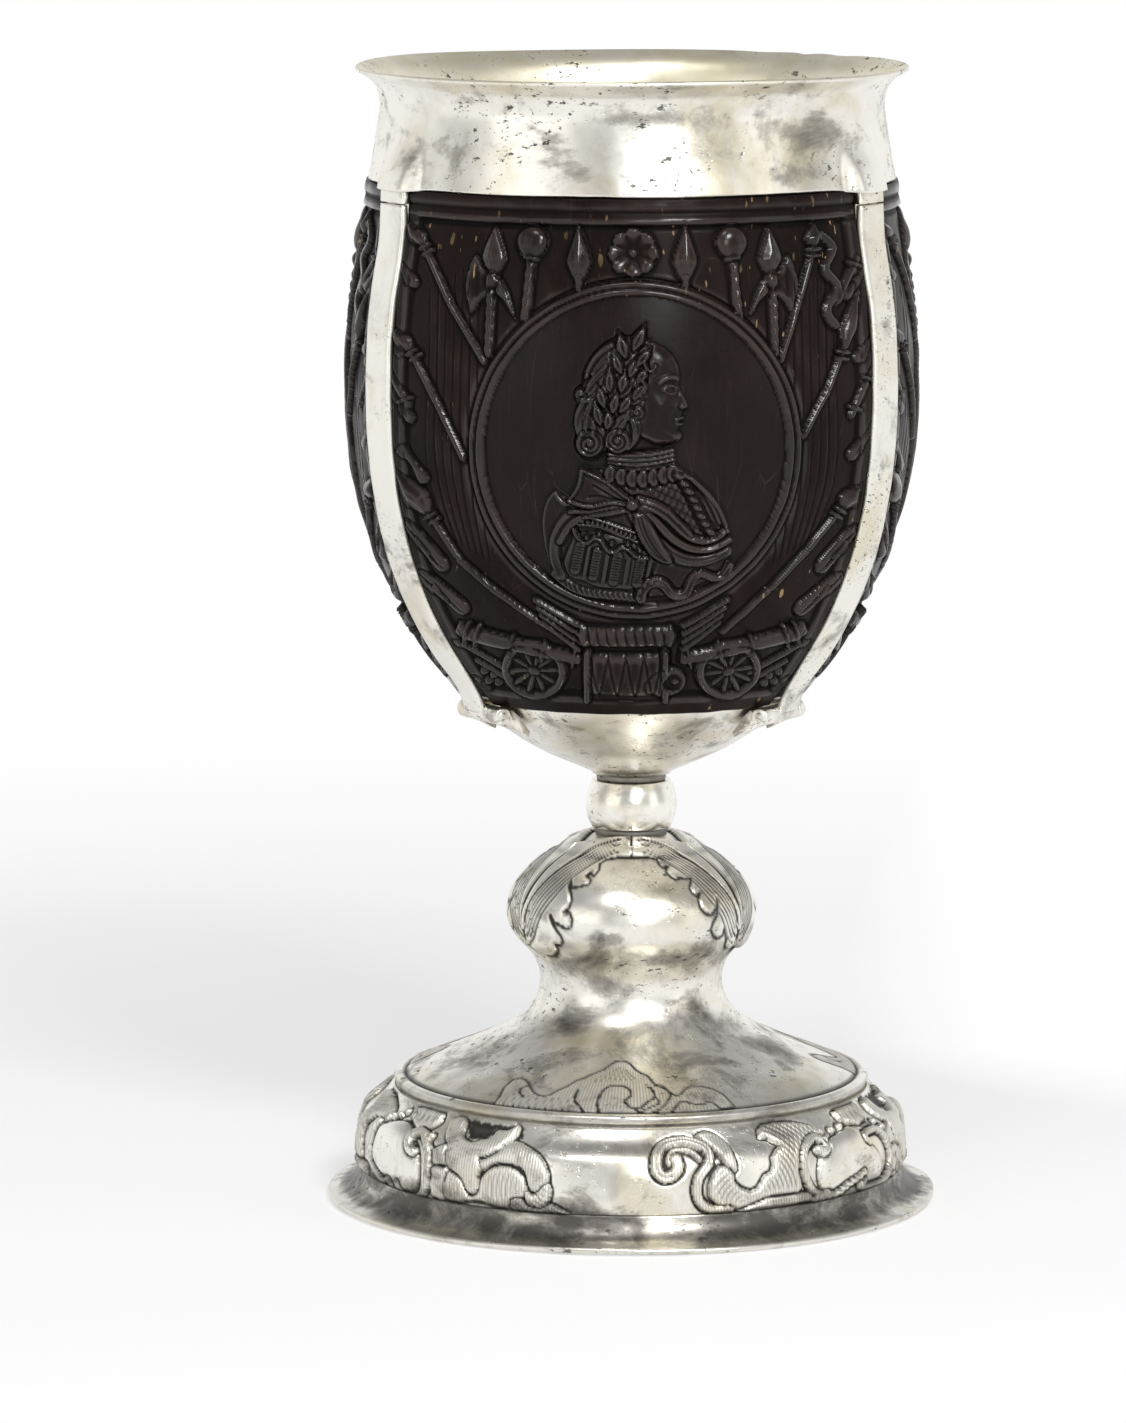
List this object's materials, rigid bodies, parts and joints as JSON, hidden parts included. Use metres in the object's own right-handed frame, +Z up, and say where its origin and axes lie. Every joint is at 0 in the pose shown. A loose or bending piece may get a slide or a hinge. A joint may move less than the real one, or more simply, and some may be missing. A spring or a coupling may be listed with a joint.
{
  "type": "standing cup",
  "caption": "Carved coconut shell cup held by hinged silver straps between a calyx and a flared lip, on a ball stem and a domed, stepped foot.",
  "frame": {"origin": "on the table under the middle of the foot", "axes": "+Z up along the stem, the front medallion faces -Y, +X to the viewer's right"},
  "size_m": [0.1098, 0.1098, 0.204],
  "materials": {
    "coconut": "waxed, satin",
    "silver": "old polished silver with tarnish in the recesses",
    "silver_dull": "dull oxidised silver",
    "gilt": "worn pale gilding",
    "stem_metal": "plain, dull"
  },
  "bodies": {
    "cup": {"coconut_bowl": "coconut", "hinge_bracket_left": "silver", "hinge_bracket_right": "silver", "hinge_bracket_back": "silver", "hinge_pin_left": "silver_dull", "hinge_pin_right": "silver_dull", "hinge_pin_back": "silver_dull", "calyx": "silver", "calyx_collar": "silver_dull", "ball_knop": "silver", "knop_collar": "silver_dull", "foot_dome": "silver", "foot_border": "silver", "foot_flange": "silver", "stem_rod": "stem_metal", "stem_washer": "stem_metal", "stem_nut": "stem_metal"},
    "lip": {"lip_mount": "silver", "lip_sleeve": "gilt", "lip_lug_left": "silver_dull", "lip_lug_right": "silver_dull", "lip_lug_back": "silver_dull"},
    "left_strap": {"strap_left": "silver"},
    "right_strap": {"strap_right": "silver"},
    "back_strap": {"strap_back": "silver"}
  },
  "joints": [
    {"name": "lip_lift", "type": "slide", "parent": "cup", "child": "lip", "axis": [0, 0, 1], "range_m": [0, 0.06]},
    {"name": "left_strap_hinge", "type": "hinge", "parent": "cup", "child": "left_strap", "pos_m": [-0.02685, -0.0155, 0.0902], "axis": [0.5, -0.866, 0], "range_deg": [0, 100]},
    {"name": "right_strap_hinge", "type": "hinge", "parent": "cup", "child": "right_strap", "pos_m": [0.02685, -0.0155, 0.0902], "axis": [0.5, 0.866, 0], "range_deg": [0, 100]},
    {"name": "back_strap_hinge", "type": "hinge", "parent": "cup", "child": "back_strap", "pos_m": [0, 0.031, 0.0902], "axis": [-1, 0, 0], "range_deg": [0, 100]}
  ]
}
